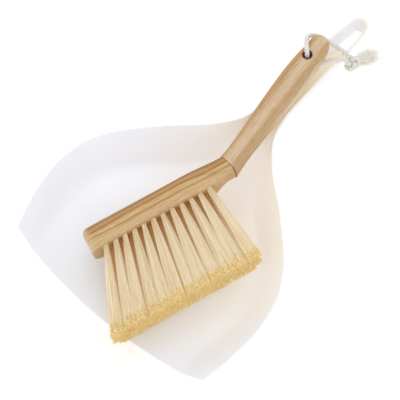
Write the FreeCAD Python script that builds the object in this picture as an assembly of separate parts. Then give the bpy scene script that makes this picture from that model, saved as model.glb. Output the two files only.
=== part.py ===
import FreeCAD, Part

import math
import os

from FreeCAD import Placement, Rotation, Vector

# A dust pan with a hand brush lying on its side in it. Millimetres.
# The pan stands on its flat underside, z = 0. Its symmetry plane is x = 0, the two front
# corners of its lip lie on y = 0, and its handle points along +y.

# ---------------------------------------------------------------- dust pan
PAN_WALL = 2.0
UNDERSIDE_TRIM = 0.06
LIP_HALF_WIDTH = 107.0
LIP_BULGE = 13.0
LOOP_CENTRE_Y = 337.0
HANG_HOLE_START_Y = 311.0
HANG_HOLE_HALF_WIDTH = 6.6
HANG_HOLE_END_RADIUS = 4.8

# Each curve runs along the pan as (y, value) and is smooth between its points.
RIM_HALF_WIDTH = ((-16, 101), (0, 107), (30, 115), (58, 118), (82, 115), (108, 103),
                  (146, 68), (176, 34), (200, 17), (226, 12), (285, 12), (310, 10.6), (337, 8.6))
RIM_HEIGHT = ((-16, 3), (0, 9), (40, 22), (80, 32), (130, 39), (190, 47),
              (248, 53.4), (290, 55.6), (337, 52))
FLOOR_HEIGHT = ((-16, 0), (136, 0), (162, 4), (212, 33), (240, 36), (337, 36))
WALL_LEAN = ((-16, 68), (0, 65), (40, 44), (80, 31), (146, 27), (190, 15), (226, 9), (337, 9))
FOOT_RADIUS = ((-16, 22), (60, 20), (146, 16), (200, 7), (337, 5))
PAN_STATIONS = (-16, 0, 20, 40, 60, 80, 98, 114, 130, 146, 160, 174, 188, 202, 216, 232,
                252, 272, 290, 306, 322, LOOP_CENTRE_Y)

# ---------------------------------------------------------------- brush block and handle
# The brush is drawn in its own frame: x runs along the block to the handle, z points out of
# the block's back, and the bristles point along -z from the flat underside, z = 0.
BLOCK_LENGTH = 137.4
BLOCK_HALF_WIDTH = 14.5
BLOCK_HEIGHT = 24.6
BLOCK_CROWN = 11.0
BLOCK_EDGE_RADIUS = 2.5
NOSE_RADIUS = 7.0
NOSE_TOP_RADIUS = 6.0
NECK_START = 103.0
NECK_END = 130.0
HEEL_START = 115.0
HEEL_END = 134.0
BLOCK_STATIONS = (0, 0.8, 2.4, 4.6, NOSE_RADIUS, 30, 60, 90, NECK_START, 109, HEEL_START, 121, 126, NECK_END,
                  HEEL_END)

JOINT_HALF_WIDTH = 10.8
JOINT_HEIGHT = 19.4
JOINT_CENTRE_Z = 13.6
JOINT_CROWN = 8.6
JOINT_EDGE_RADIUS = 5.0
HANDLE_BEND = 25.2
HANDLE_LENGTH = 147.0
HANDLE_END_LEAN = 1.5
HANDLE_END_ROUNDING = 11.0
HANDLE_END_ANGLES = (25, 45, 62, 76, 86)
HANDLE_EDGE_GROWTH = 0.09
HANDLE_EDGE_LIMIT = 7.5
HANDLE_CROWN_SHARE = 0.98
OVERRUN = 12.0

# Handle sections as (distance from the joint, half thickness, width across the bend).
HANDLE_STATIONS = ((-OVERRUN, JOINT_HALF_WIDTH, JOINT_HEIGHT), (6, JOINT_HALF_WIDTH, JOINT_HEIGHT),
                   (26, 10.4, 19.6), (52, 10.0, 22.2), (80, 9.6, 24.6), (100, 9.0, 25.2),
                   (122, 7.9, 22.6), (HANDLE_LENGTH - HANDLE_END_ROUNDING, 7.2, 19.4))

CORD_HOLE_DISTANCE = 121.6
CORD_HOLE_OFFSET = 1.8
CORD_HOLE_DIAMETER = 7.8
CORD_HOLE_ROUNDING = 1.4
CORD_HOLE_HALF_DEPTH = 7.7

DOWEL_DIAMETER = 8.0
DOWEL_LENGTH = 36.0
DOWEL_CLEARANCE = 0.05

# ---------------------------------------------------------------- bristle tufts
TUFTS_PER_LONG_ROW = 12
TUFT_ROWS = 4
TUFT_PITCH = 9.0
TUFT_FIRST_X = 13.5
TUFT_ROW_SPACING = 6.8
TUFT_RADIUS = 2.3
TUFT_HOLE_CLEARANCE = 0.1
TUFT_ROOT_DEPTH = 7.5
TIP_FIRST_X = -13.5
TIP_PITCH = 11.68
TIP_ROW_SPACING = 8.4
TIP_GAP = 0.2
BRISTLE_LENGTH = 75.0

ANCHOR_LENGTH = 5.8
ANCHOR_HEIGHT = 1.9
ANCHOR_THICKNESS = 0.4

# ---------------------------------------------------------------- how the brush lies in the pan
BRUSH_POINT = Vector(-31.0, 17.9, 25.9)
BRUSH_YAW = 69.1
BRUSH_PITCH = -8.65
BRUSH_ROLL = -85.6

# ---------------------------------------------------------------- hanging cord
CORD_DIAMETER = 4.4
# From the knot over the handle's end, down through its hole and back to the knot.
CORD_ROUTE = ((14.0, 301.2, 58.6), (0.7, 300.0, 61.1), (-9.0, 296.6, 64.7), (-18.3, 294.4, 66.0),
              (-20.4, 283.3, 73.3), (-6.9, 266.4, 82.8), (-6.9, 270.6, 56.1),
              (2.0, 279.8, 57.3), (10.4, 290.4, 59.5), (16.0, 295.8, 57.4))
KNOT_CENTRE = Vector(20.6, 299.5, 53.5)
KNOT_DIAMETER = 16.6
TASSEL_TIP = Vector(30.4, 327.8, 46.0)
TASSEL_START = 0.35 * KNOT_DIAMETER
TASSEL_NECK_RADIUS = 3.4
TASSEL_END_RADIUS = 7.0


def smooth_value(curve, at):
    """Value of a monotone cubic curve through (position, value) points."""
    xs = [float(point[0]) for point in curve]
    ys = [float(point[1]) for point in curve]
    slopes = [(ys[i + 1] - ys[i]) / (xs[i + 1] - xs[i]) for i in range(len(xs) - 1)]
    tangents = [slopes[0]]
    for before, after in zip(slopes, slopes[1:]):
        tangents.append(0.0 if before * after <= 0 else 2 * before * after / (before + after))
    tangents.append(slopes[-1])
    i = 0
    while i < len(slopes) - 1 and at > xs[i + 1]:
        i += 1
    width = xs[i + 1] - xs[i]
    t = (at - xs[i]) / width
    return ((2 * t**3 - 3 * t**2 + 1) * ys[i] + (t**3 - 2 * t**2 + t) * width * tangents[i]
            + (3 * t**2 - 2 * t**3) * ys[i + 1] + (t**3 - t**2) * width * tangents[i + 1])


def smooth_step(at, start, end):
    """0 before start, 1 after end and a smooth rise between them."""
    share = min(max((at - start) / (end - start), 0.0), 1.0)
    return share * share * (3 - 2 * share)


def arc(start, middle, end):
    return Part.Arc(start, middle, end).toShape()


def line(start, end):
    return Part.makeLine(start, end)


# ---------------------------------------------------------------- dust pan
def pan_side(y):
    """Right half of the pan's section at y: outer points, then inner points, from the floor up."""
    width = smooth_value(RIM_HALF_WIDTH, y)
    height = smooth_value(RIM_HEIGHT, y)
    floor = smooth_value(FLOOR_HEIGHT, y)
    lean = math.radians(smooth_value(WALL_LEAN, y))
    radius = smooth_value(FOOT_RADIUS, y)
    rise = math.pi / 2 - lean
    foot_x = width - (height - floor) * math.tan(lean) - radius * math.tan(rise / 2)
    sides = []
    for r, shift in ((radius, 0.0), (radius - PAN_WALL, PAN_WALL)):
        centre = Vector(foot_x, y, floor + radius)
        sides.append({
            "floor": Vector(foot_x, y, floor + shift),
            "bend": centre + Vector(r * math.sin(rise / 2), 0, -r * math.cos(rise / 2)),
            "wall": centre + Vector(r * math.sin(rise), 0, -r * math.cos(rise)),
            "rim": Vector(width - shift * math.cos(lean), y, height + shift * math.sin(lean)),
        })
    return sides


def mirrored(point):
    return Vector(-point.x, point.y, point.z)


def pan_section(y):
    """Closed wire of the pan's full section at y."""
    outer, inner = pan_side(y)
    edges = []
    for side, forward in ((outer, True), (inner, False)):
        left = {name: mirrored(point) for name, point in side.items()}
        run = [line(left["rim"], left["wall"]), arc(left["wall"], left["bend"], left["floor"]),
               line(left["floor"], side["floor"]), arc(side["floor"], side["bend"], side["wall"]),
               line(side["wall"], side["rim"])]
        if not forward:
            run.reverse()
        edges += run
        if forward:
            edges.append(line(outer["rim"], inner["rim"]))
    edges.append(line(mirrored(inner["rim"]), mirrored(outer["rim"])))
    return Part.Wire(edges)


def pan_end_bowl():
    """The pan's last section turned half a turn round the end of the handle."""
    outer, inner = pan_side(LOOP_CENTRE_Y)
    axis_outer = Vector(0, LOOP_CENTRE_Y, outer["floor"].z)
    axis_inner = Vector(0, LOOP_CENTRE_Y, inner["floor"].z)
    edges = [line(axis_outer, outer["floor"]), arc(outer["floor"], outer["bend"], outer["wall"]),
             line(outer["wall"], outer["rim"]), line(outer["rim"], inner["rim"]),
             line(inner["rim"], inner["wall"]), arc(inner["wall"], inner["bend"], inner["floor"]),
             line(inner["floor"], axis_inner), line(axis_inner, axis_outer)]
    half_section = Part.Face(Part.Wire(edges))
    return half_section.revolve(Vector(0, LOOP_CENTRE_Y, 0), Vector(0, 0, 1), 180)


def hang_hole_tool():
    """Tapered slot with round ends that opens the floor of the handle's end loop."""
    z = smooth_value(FLOOR_HEIGHT, LOOP_CENTRE_Y) - 5.0
    start_y = HANG_HOLE_START_Y + HANG_HOLE_HALF_WIDTH
    wide = Vector(HANG_HOLE_HALF_WIDTH, start_y, z)
    narrow = Vector(HANG_HOLE_END_RADIUS, LOOP_CENTRE_Y, z)
    start = Vector(0, HANG_HOLE_START_Y, z)
    end = Vector(0, LOOP_CENTRE_Y + HANG_HOLE_END_RADIUS, z)
    outline = Part.Wire([arc(mirrored(wide), start, wide), line(wide, narrow),
                         arc(narrow, end, mirrored(narrow)), line(mirrored(narrow), mirrored(wide))])
    return Part.Face(outline).extrude(Vector(0, 0, 12))


def dust_pan():
    """Shell with a curved lip and a hanging hole, trimmed underneath to one flat face at z = 0."""
    shell = Part.makeLoft([pan_section(y) for y in PAN_STATIONS], True, False)
    shell = shell.fuse(pan_end_bowl()).removeSplitter()
    lip_radius = (LIP_HALF_WIDTH**2 + LIP_BULGE**2) / (2 * LIP_BULGE)
    lip_tool = Part.makeCylinder(lip_radius, 120, Vector(0, lip_radius - LIP_BULGE, -20))
    shell = shell.common(lip_tool).cut(hang_hole_tool())
    shell.translate(Vector(0, 0, -UNDERSIDE_TRIM))
    return shell.cut(Part.makeBox(400, 500, 10, Vector(-200, -60, -10)))


# ---------------------------------------------------------------- brush block and handle
def oval_section(half_width, bottom, top, crown, radius):
    """Section in the yz plane: flat bottom with rounded edges, straight sides, arched top."""
    side_z = top - crown
    slant = radius * (1 - math.sqrt(0.5))
    right_low = Vector(0, half_width - radius, bottom)
    right_mid = Vector(0, half_width - slant, bottom + slant)
    right_high = Vector(0, half_width, bottom + radius)
    shoulder = Vector(0, half_width, side_z)

    def flip(point):
        return Vector(0, -point.y, point.z)

    return Part.Wire([line(flip(right_low), right_low), arc(right_low, right_mid, right_high),
                      line(right_high, shoulder), arc(shoulder, Vector(0, 0, top), flip(shoulder)),
                      line(flip(shoulder), flip(right_high)),
                      arc(flip(right_high), flip(right_mid), flip(right_low))])


def moved(shape, placement):
    copy = shape.copy()
    copy.Placement = placement.multiply(copy.Placement)
    return copy


def block_section(x):
    """Section of the brush block at x, with its rounded nose, narrowing neck and rising heel."""
    neck = smooth_step(x, NECK_START, NECK_END)
    bottom = (JOINT_CENTRE_Z - JOINT_HEIGHT / 2) * smooth_step(x, HEEL_START, HEEL_END)

    def blend(body, joint):
        return body + (joint - body) * neck

    half_width = blend(BLOCK_HALF_WIDTH, JOINT_HALF_WIDTH)
    top = blend(BLOCK_HEIGHT, JOINT_CENTRE_Z + JOINT_HEIGHT / 2)
    crown = blend(BLOCK_CROWN, JOINT_CROWN)
    if x < NOSE_RADIUS:
        half_width += math.sqrt(NOSE_RADIUS**2 - (NOSE_RADIUS - x) ** 2) - NOSE_RADIUS
    if x < NOSE_TOP_RADIUS:
        sink = NOSE_TOP_RADIUS - math.sqrt(NOSE_TOP_RADIUS**2 - (NOSE_TOP_RADIUS - x) ** 2)
        top -= sink
    if crown > half_width:
        crown = half_width
    wire = oval_section(half_width, bottom, top, crown,
                        blend(BLOCK_EDGE_RADIUS, JOINT_EDGE_RADIUS))
    return moved(wire, Placement(Vector(x, 0, 0), Rotation()))


def mitre_tool(side):
    """Large box with one face on the joint's mitre plane, lying on one side of it."""
    size = 400.0
    box = Part.makeBox(size, size, size, Vector(0 if side > 0 else -size, -size / 2, -size / 2))
    turn = Rotation(Vector(0, 1, 0), -HANDLE_BEND / 2)
    return moved(box, Placement(Vector(BLOCK_LENGTH, 0, JOINT_CENTRE_Z), turn))


def handle_frame():
    """Frame of the handle: x along the handle from the joint, z across the bend."""
    turn = Rotation(Vector(0, 1, 0), -HANDLE_BEND)
    return Placement(Vector(BLOCK_LENGTH, 0, JOINT_CENTRE_Z), turn)


def handle_body():
    """Handle with its neck overrun; its last sections shrink along a quarter round."""
    sections = list(HANDLE_STATIONS)
    last_distance, last_thickness, last_width = HANDLE_STATIONS[-1]
    for angle in HANDLE_END_ANGLES:
        shrink = math.cos(math.radians(angle))
        distance = last_distance + HANDLE_END_ROUNDING * math.sin(math.radians(angle))
        sections.append((distance, last_thickness * shrink, last_width * shrink))
    wires = []
    for distance, half_thickness, width in sections:
        lean = HANDLE_END_LEAN * max(distance - last_distance, 0.0) / HANDLE_END_ROUNDING
        full = min(width / JOINT_HEIGHT, 1.0)
        crown = min(half_thickness, JOINT_CROWN) * HANDLE_CROWN_SHARE
        radius = min(JOINT_EDGE_RADIUS + HANDLE_EDGE_GROWTH * max(distance, 0.0), 0.9 * half_thickness,
                     HANDLE_EDGE_LIMIT * full)
        wire = oval_section(half_thickness, -width / 2, width / 2, crown, radius)
        wires.append(moved(wire, Placement(Vector(distance, 0, lean), Rotation())))
    return moved(Part.makeLoft(wires, True, False), handle_frame())


def cord_hole_tool():
    """Drill for the cord hole with a rounded mouth on both faces."""
    radius = CORD_HOLE_DIAMETER / 2
    reach = 2 * CORD_HOLE_HALF_DEPTH
    rounding = CORD_HOLE_ROUNDING
    tool = Part.makeCylinder(radius, 2 * reach, Vector(0, -reach, 0), Vector(0, 1, 0))
    for side in (1, -1):
        base = Vector(0, side * (CORD_HOLE_HALF_DEPTH - rounding), 0)
        cone = Part.makeCone(radius, radius + 2 * rounding, 2 * rounding, base, Vector(0, side, 0))
        tool = tool.fuse(cone)
    place = handle_frame().multiply(Placement(Vector(CORD_HOLE_DISTANCE, 0, CORD_HOLE_OFFSET), Rotation()))
    return moved(tool, place)


def dowel(clearance):
    """Dowel across the joint, square to the mitre plane."""
    radius = DOWEL_DIAMETER / 2 + clearance
    length = DOWEL_LENGTH + 2 * clearance
    rod = Part.makeCylinder(radius, length, Vector(-length / 2, 0, 0), Vector(1, 0, 0))
    turn = Rotation(Vector(0, 1, 0), -HANDLE_BEND / 2)
    return moved(rod, Placement(Vector(BLOCK_LENGTH, 0, JOINT_CENTRE_Z), turn))


# ---------------------------------------------------------------- bristle tufts
def tuft_positions():
    """Root and tip of every tuft; every second row has one tuft less and is staggered."""
    places = []
    for row in range(TUFT_ROWS):
        stagger = 0.5 * (row % 2)
        middle = row - (TUFT_ROWS - 1) / 2
        for column in range(TUFTS_PER_LONG_ROW - row % 2):
            step = column + stagger
            root = Vector(TUFT_FIRST_X + TUFT_PITCH * step, TUFT_ROW_SPACING * middle, 0)
            tip = Vector(TIP_FIRST_X + TIP_PITCH * step, TIP_ROW_SPACING * middle, -BRISTLE_LENGTH)
            places.append((row + 1, column + 1, root, tip))
    return places


def tuft(root, tip):
    """Round bundle in its hole that opens to an oval at the trimmed tips."""
    down = Vector(0, 0, -1)
    across = TIP_ROW_SPACING / 2 - TIP_GAP / 2
    along = TIP_PITCH / 2 - TIP_GAP / 2
    root_ring = Part.Wire(Part.makeCircle(TUFT_RADIUS, root, down))
    tip_curve = Part.Ellipse(Vector(along, 0, 0), Vector(0, -across, 0), Vector(0, 0, 0)).toShape()
    tip_ring = moved(Part.Wire(tip_curve), Placement(tip, Rotation()))
    bundle = Part.makeLoft([root_ring, tip_ring], True, True)
    stub = Part.makeCylinder(TUFT_RADIUS, TUFT_ROOT_DEPTH, root, Vector(0, 0, 1))
    return bundle.fuse(stub)


def tuft_holes():
    depth = TUFT_ROOT_DEPTH + ANCHOR_HEIGHT + 0.2
    radius = TUFT_RADIUS + TUFT_HOLE_CLEARANCE
    drills = []
    for _, _, root, _ in tuft_positions():
        drills.append(Part.makeCylinder(radius, depth + 1, root - Vector(0, 0, 1), Vector(0, 0, 1)))
    return Part.makeCompound(drills)


def tuft_anchors():
    """Flat metal anchors that bite into the wood beside each hole and hold the folded bristles."""
    plates = []
    for _, _, root, _ in tuft_positions():
        corner = root + Vector(-ANCHOR_LENGTH / 2, -ANCHOR_THICKNESS / 2, TUFT_ROOT_DEPTH + 0.1)
        plates.append(Part.makeBox(ANCHOR_LENGTH, ANCHOR_THICKNESS, ANCHOR_HEIGHT, corner))
    return Part.makeCompound(plates)


# ---------------------------------------------------------------- hanging cord
def cord_path(points):
    """Straight runs joined by tangent arcs, with the arcs' radii."""
    points = [Vector(*point) for point in points]
    edges = []
    radii = []
    start = points[0]
    for before, corner, after in zip(points, points[1:], points[2:]):
        back = before - corner
        ahead = after - corner
        turn = math.pi - back.getAngle(ahead)
        shorter = min(back.Length, ahead.Length)
        reach = 0.45 * shorter
        radius = reach / math.tan(turn / 2)
        radii.append(radius)
        back.normalize()
        ahead.normalize()
        enter = corner + back * reach
        leave = corner + ahead * reach
        inward = back + ahead
        inward.normalize()
        to_arc = radius / math.cos(turn / 2) - radius
        edges.append(line(start, enter))
        edges.append(arc(enter, corner + inward * to_arc, leave))
        start = leave
    edges.append(line(start, points[-1]))
    return Part.Wire(edges), radii


def hang_cord():
    path, radii = cord_path(CORD_ROUTE)
    heading = path.Edges[0].tangentAt(path.Edges[0].FirstParameter)
    ring = Part.Wire(Part.makeCircle(CORD_DIAMETER / 2, path.Edges[0].Vertexes[0].Point, heading))
    tube = path.makePipeShell([ring], True, False)
    section = math.pi * CORD_DIAMETER**2 / 4
    print("cord radii", [round(radius, 1) for radius in radii])
    print("cord length", round(path.Length, 1), "volume ratio", round(tube.Volume / section / path.Length, 4))
    return tube


def knot_ball():
    return Part.makeSphere(KNOT_DIAMETER / 2, KNOT_CENTRE)


def cord_tassel():
    """Frayed end: a cone that opens out from inside the knot."""
    along = TASSEL_TIP - KNOT_CENTRE
    length = along.Length - TASSEL_START
    start = KNOT_CENTRE + along * (TASSEL_START / along.Length)
    cone = Part.makeCone(TASSEL_NECK_RADIUS, TASSEL_END_RADIUS, length, start, along)
    return cone.cut(knot_ball())


# ---------------------------------------------------------------- the whole object
def build():
    block_stations = BLOCK_STATIONS + (BLOCK_LENGTH, BLOCK_LENGTH + OVERRUN)
    block = Part.makeLoft([block_section(x) for x in block_stations], True, False)
    block = block.cut(mitre_tool(1)).cut(tuft_holes()).cut(tuft_anchors()).cut(dowel(DOWEL_CLEARANCE))
    handle = handle_body().cut(mitre_tool(-1)).cut(dowel(DOWEL_CLEARANCE)).cut(cord_hole_tool())
    brush = {"brush_block": block, "brush_handle": handle, "handle_dowel": dowel(0.0),
             "tuft_anchors": tuft_anchors()}
    for row, column, root, tip in tuft_positions():
        brush["tuft_%d_%02d" % (row, column)] = tuft(root, tip)
    rest = Placement(BRUSH_POINT, Rotation(BRUSH_YAW, BRUSH_PITCH, BRUSH_ROLL))
    shapes = {"dust_pan": dust_pan()}
    for name, shape in brush.items():
        shapes[name] = moved(shape, rest)
    cord = hang_cord()
    shapes["hang_cord"] = cord
    shapes["cord_knot"] = knot_ball().cut(cord)
    shapes["cord_tassel"] = cord_tassel()
    return shapes


os.makedirs("parts", exist_ok=True)
for name, shape in build().items():
    shape.exportStep("parts/%s.step" % name)
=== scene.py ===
import math

import bmesh
import bpy
from mathutils import Euler, Matrix, Vector


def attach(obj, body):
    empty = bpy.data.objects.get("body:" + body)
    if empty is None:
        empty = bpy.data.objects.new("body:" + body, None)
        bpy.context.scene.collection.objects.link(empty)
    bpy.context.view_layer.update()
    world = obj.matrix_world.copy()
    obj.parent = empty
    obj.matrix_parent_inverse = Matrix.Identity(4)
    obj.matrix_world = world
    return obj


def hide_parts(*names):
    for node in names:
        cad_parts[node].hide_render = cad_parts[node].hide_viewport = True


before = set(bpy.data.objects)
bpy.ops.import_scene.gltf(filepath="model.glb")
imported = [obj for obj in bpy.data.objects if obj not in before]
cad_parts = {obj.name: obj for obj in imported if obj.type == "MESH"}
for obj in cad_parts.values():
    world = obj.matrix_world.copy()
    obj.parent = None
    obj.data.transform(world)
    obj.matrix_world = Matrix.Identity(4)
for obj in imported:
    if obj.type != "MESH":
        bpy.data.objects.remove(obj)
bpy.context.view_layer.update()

MM = 0.001

# ---------------------------------------------------------------- camera
CAMERA_AZIMUTH = math.radians(41.33)
CAMERA_ELEVATION = math.radians(62)
CAMERA_DISTANCE = 1.1
CAMERA_AIM = Vector((-0.0014, 0.1198, 0.020))
CAMERA_LENS = 113.9

# ---------------------------------------------------------------- brush, as it lies in the pan
BRUSH_POINT = Vector((-31.0, 17.9, 25.9)) * MM
BRUSH_YAW = math.radians(69.1)
BRUSH_PITCH = math.radians(-8.65)
BRUSH_ROLL = math.radians(-85.6)
BLOCK_LENGTH = 137.4 * MM
JOINT_CENTRE_Z = 13.6 * MM
HANDLE_BEND = math.radians(25.2)

TUFT_ROWS = 4
TUFTS_PER_LONG_ROW = 12
TUFT_RADIUS = 2.2 * MM
TUFT_FIRST_X = 13.5 * MM
TUFT_PITCH = 9.0 * MM
TUFT_ROW_SPACING = 6.8 * MM
TUFT_HIDDEN_DEPTH = 3.0 * MM
TIP_FIRST_X = -13.5 * MM
TIP_PITCH = 11.68 * MM
TIP_ROW_SPACING = 8.4 * MM
BRISTLE_LENGTH = 75.0 * MM
BRISTLES_PER_TUFT = 240
BRISTLE_RADIUS = 0.19 * MM
BRISTLE_SWAY = 1.7 * MM
BRISTLE_PINCH = -0.17
BRISTLE_UNEVENNESS = 0.03
BRISTLE_SEGMENTS = 5
FIRST_BRISTLE_SEED = 11
TUFT_END_LENGTH_SHARE = 0.56
TUFT_END_WIDTH_SHARE = 0.5
TUFT_LEAN = 1.2 * MM
LEAN_STEP = 2.4
LEAN_ROW_SHIFT = 5

# ---------------------------------------------------------------- hanging cord
CORD_DIAMETER = 4.4 * MM
CORD_HOLE_DISTANCE = 121.6 * MM
CORD_HOLE_OFFSET = 1.8 * MM
CORD_ROUTE = ((0.0140, 0.3012, 0.0586), (0.0007, 0.3000, 0.0611), (-0.0090, 0.2966, 0.0647),
              (-0.0183, 0.2944, 0.0660), (-0.0204, 0.2833, 0.0733), (-0.0069, 0.2664, 0.0828),
              (-0.0069, 0.2706, 0.0561), (0.0020, 0.2798, 0.0573), (0.0104, 0.2904, 0.0595),
              (0.0160, 0.2958, 0.0574))
KNOT_CENTRE = Vector((20.6, 299.5, 53.5)) * MM
TASSEL_TIP = Vector((30.4, 327.8, 46.0)) * MM

CORD_POINT_SPACING = 0.6 * MM
STRANDS = 3
STRAND_OFFSET_SHARE = 0.27
STRAND_RADIUS_SHARE = 0.235
LAY_IN_DIAMETERS = 2.6
TASSEL_ROOT_DISTANCE = 3.0 * MM
TASSEL_FIBRES = 230
TASSEL_FIBRE_RADIUS = 0.18 * MM
TASSEL_ROOT_RADIUS = 2.6 * MM
TASSEL_END_RADIUS = 6.6 * MM
TASSEL_SWAY = 3.4 * MM
TASSEL_UNEVENNESS = 0.42
TASSEL_SEGMENTS = 6
TASSEL_SEED = 5

# ---------------------------------------------------------------- dust pan, in millimetres
PAN_WALL = 2.0
PAN_RIM_ROUNDING = 0.7
LIP_HALF_WIDTH = 107.0
LIP_BULGE = 13.0
LOOP_CENTRE_Y = 337.0
HANG_HOLE_START_Y = 311.0
HANG_HOLE_HALF_WIDTH = 6.6
HANG_HOLE_END_RADIUS = 4.8
# Each curve runs along the pan as (y, value) and is smooth between its points.
RIM_HALF_WIDTH = ((-16, 101), (0, 107), (30, 115), (58, 118), (82, 115), (108, 103),
                  (146, 68), (176, 34), (200, 17), (226, 12), (285, 12), (310, 10.6), (337, 8.6))
RIM_HEIGHT = ((-16, 3), (0, 9), (40, 22), (80, 32), (130, 39), (190, 47),
              (248, 53.4), (290, 55.6), (337, 52))
FLOOR_HEIGHT = ((-16, 0), (136, 0), (162, 4), (212, 33), (240, 36), (337, 36))
WALL_LEAN = ((-16, 68), (0, 65), (40, 44), (80, 31), (146, 27), (190, 15), (226, 9), (337, 9))
FOOT_RADIUS = ((-16, 22), (60, 20), (146, 16), (200, 7), (337, 5))
PROFILE_STEPS = 40
BEND_STEPS = 40
LIP_STEPS = 9
FIRST_STRAIGHT_Y = 24.0
STATION_SPACING = 2.0
HOLE_START_STEPS = 8
LOOP_STEPS = 8
LOOP_TURN_STEPS = 28


# Places on the pan that the plastic's painted bounce light, painted trough shade and painted glow follow, in
# metres.
PAINTED_BOUNCE_CENTRE = (0.045, 0.105, 0.03)
PAINTED_BOUNCE_REACH = (0.03, 0.13)
TROUGH_START = (0.19, 0.24)
TROUGH_HALF_WIDTH = (0.0085, 0.012)
LOOP_START = (0.285, 0.315)
LIP_END = 0.09


def srgb(red, green, blue):
    """Linear colour from the 0 to 255 values a colour card prints."""
    def linear(value):
        value /= 255
        return value / 12.92 if value <= 0.04045 else ((value + 0.055) / 1.055) ** 2.4
    return (linear(red), linear(green), linear(blue), 1.0)


# ================================================================ camera
def add_camera():
    flat = math.cos(CAMERA_ELEVATION)
    back = Vector((math.sin(CAMERA_AZIMUTH) * flat, -math.cos(CAMERA_AZIMUTH) * flat,
                   math.sin(CAMERA_ELEVATION)))
    data = bpy.data.cameras.new("camera")
    data.lens = CAMERA_LENS
    data.sensor_width = 36.0
    camera = bpy.data.objects.new("camera", data)
    camera.location = CAMERA_AIM + back * CAMERA_DISTANCE
    camera.rotation_euler = back.to_track_quat("Z", "Y").to_euler()
    bpy.context.scene.collection.objects.link(camera)
    bpy.context.scene.camera = camera


# ================================================================ mesh helpers
def new_object(name, mesh):
    piece = bpy.data.objects.new(name, mesh)
    bpy.context.scene.collection.objects.link(piece)
    return piece


def mesh_from(name, points, faces):
    mesh = bpy.data.meshes.new(name)
    mesh.from_pydata(points, [], faces)
    mesh.update()
    return mesh


def applied(piece):
    """Turns a piece with live modifiers into a plain mesh of the same name."""
    depsgraph = bpy.context.evaluated_depsgraph_get()
    mesh = bpy.data.meshes.new_from_object(piece.evaluated_get(depsgraph))
    piece.modifiers.clear()
    old = piece.data
    piece.data = mesh
    bpy.data.meshes.remove(old)
    return piece


def smooth_shaded(mesh, sharp_angle=math.radians(38)):
    """Smooth faces with sharp edges where two faces meet at more than the given angle."""
    work = bmesh.new()
    work.from_mesh(mesh)
    for face in work.faces:
        face.smooth = True
    for edge in work.edges:
        edge.smooth = len(edge.link_faces) == 2 and edge.calc_face_angle(0.0) < sharp_angle
    work.to_mesh(mesh)
    work.free()


def finish_piece(piece, body, slot, *nodes):
    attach(piece, body)
    if nodes:
        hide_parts(*nodes)
    return piece


# ================================================================ node helpers
class Graph:
    """Adds nodes to a node tree and joins their sockets."""

    def __init__(self, tree):
        self.tree = tree

    def add(self, kind, values=None, **settings):
        node = self.tree.nodes.new(kind)
        for name, value in settings.items():
            setattr(node, name, value)
        for socket, value in (values or {}).items():
            self.feed(node.inputs[socket], value)
        return node

    def feed(self, socket, value):
        if isinstance(value, bpy.types.NodeSocket):
            self.tree.links.new(value, socket)
        else:
            socket.default_value = value

    def math(self, operation, *values):
        node = self.add("ShaderNodeMath", operation=operation)
        for socket, value in zip(node.inputs, values):
            self.feed(socket, value)
        return node.outputs[0]

    def vector(self, operation, *values):
        node = self.add("ShaderNodeVectorMath", operation=operation)
        for socket, value in zip(node.inputs, values):
            self.feed(socket, value)
        return node.outputs[0]

    def scaled(self, vector, factor):
        node = self.add("ShaderNodeVectorMath", operation="SCALE")
        self.feed(node.inputs[0], vector)
        self.feed(node.inputs["Scale"], factor)
        return node.outputs[0]

    def blend(self, factor, low, high):
        """Colour between low and high."""
        node = self.add("ShaderNodeMix", data_type="RGBA")
        for socket, value in zip((node.inputs[0], node.inputs[6], node.inputs[7]), (factor, low, high)):
            self.feed(socket, value)
        return node.outputs[2]

    def ranged(self, value, low, high, to_low=0.0, to_high=1.0):
        node = self.add("ShaderNodeMapRange", {"Value": value, "From Min": low, "From Max": high,
                                               "To Min": to_low, "To Max": to_high})
        return node.outputs[0]

    def ramp(self, value, stops):
        """Colour read from (place, colour) stops along a value from 0 to 1."""
        node = self.add("ShaderNodeValToRGB", {0: value})
        elements = node.color_ramp.elements
        for element, (place, colour) in zip(elements, (stops[0], stops[-1])):
            element.position = place
            element.color = colour
        for place, colour in stops[1:-1]:
            elements.new(place).color = colour
        return node.outputs[0]

    def noise(self, vector, scale, detail=3.0, rough=0.5):
        node = self.add("ShaderNodeTexNoise", {"Vector": vector, "Scale": scale, "Detail": detail,
                                               "Roughness": rough})
        return node.outputs[0]

    def stretched(self, vector, along, across):
        """Vector scaled for a pattern that is long in x and narrow in y and z."""
        return self.vector("MULTIPLY", vector, (along, across, across))


def new_group(name, inputs, outputs):
    """Shader group with named sockets; an input is given as (name, socket type, default)."""
    tree = bpy.data.node_groups.new(name, "ShaderNodeTree")
    for label, socket_type, default in inputs:
        socket = tree.interface.new_socket(label, in_out="INPUT", socket_type=socket_type)
        if default is not None:
            socket.default_value = default
    for label, socket_type in outputs:
        tree.interface.new_socket(label, in_out="OUTPUT", socket_type=socket_type)
    graph = Graph(tree)
    return graph, graph.add("NodeGroupInput").outputs, graph.add("NodeGroupOutput").inputs


def new_material(name, **constants):
    """Material with one Principled shader whose constant sockets are set directly."""
    material = bpy.data.materials.new(name)
    material.use_nodes = True
    material.node_tree.nodes.clear()
    graph = Graph(material.node_tree)
    shader = graph.add("ShaderNodeBsdfPrincipled")
    for label, value in constants.items():
        shader.inputs[label.replace("_", " ")].default_value = value
    graph.add("ShaderNodeOutputMaterial", {"Surface": shader.outputs[0]})
    return material, graph, shader


def place_group(graph, tree, **values):
    node = graph.add("ShaderNodeGroup", node_tree=tree)
    for label, value in values.items():
        graph.feed(node.inputs[label.replace("_", " ")], value)
    return node.outputs


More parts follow.
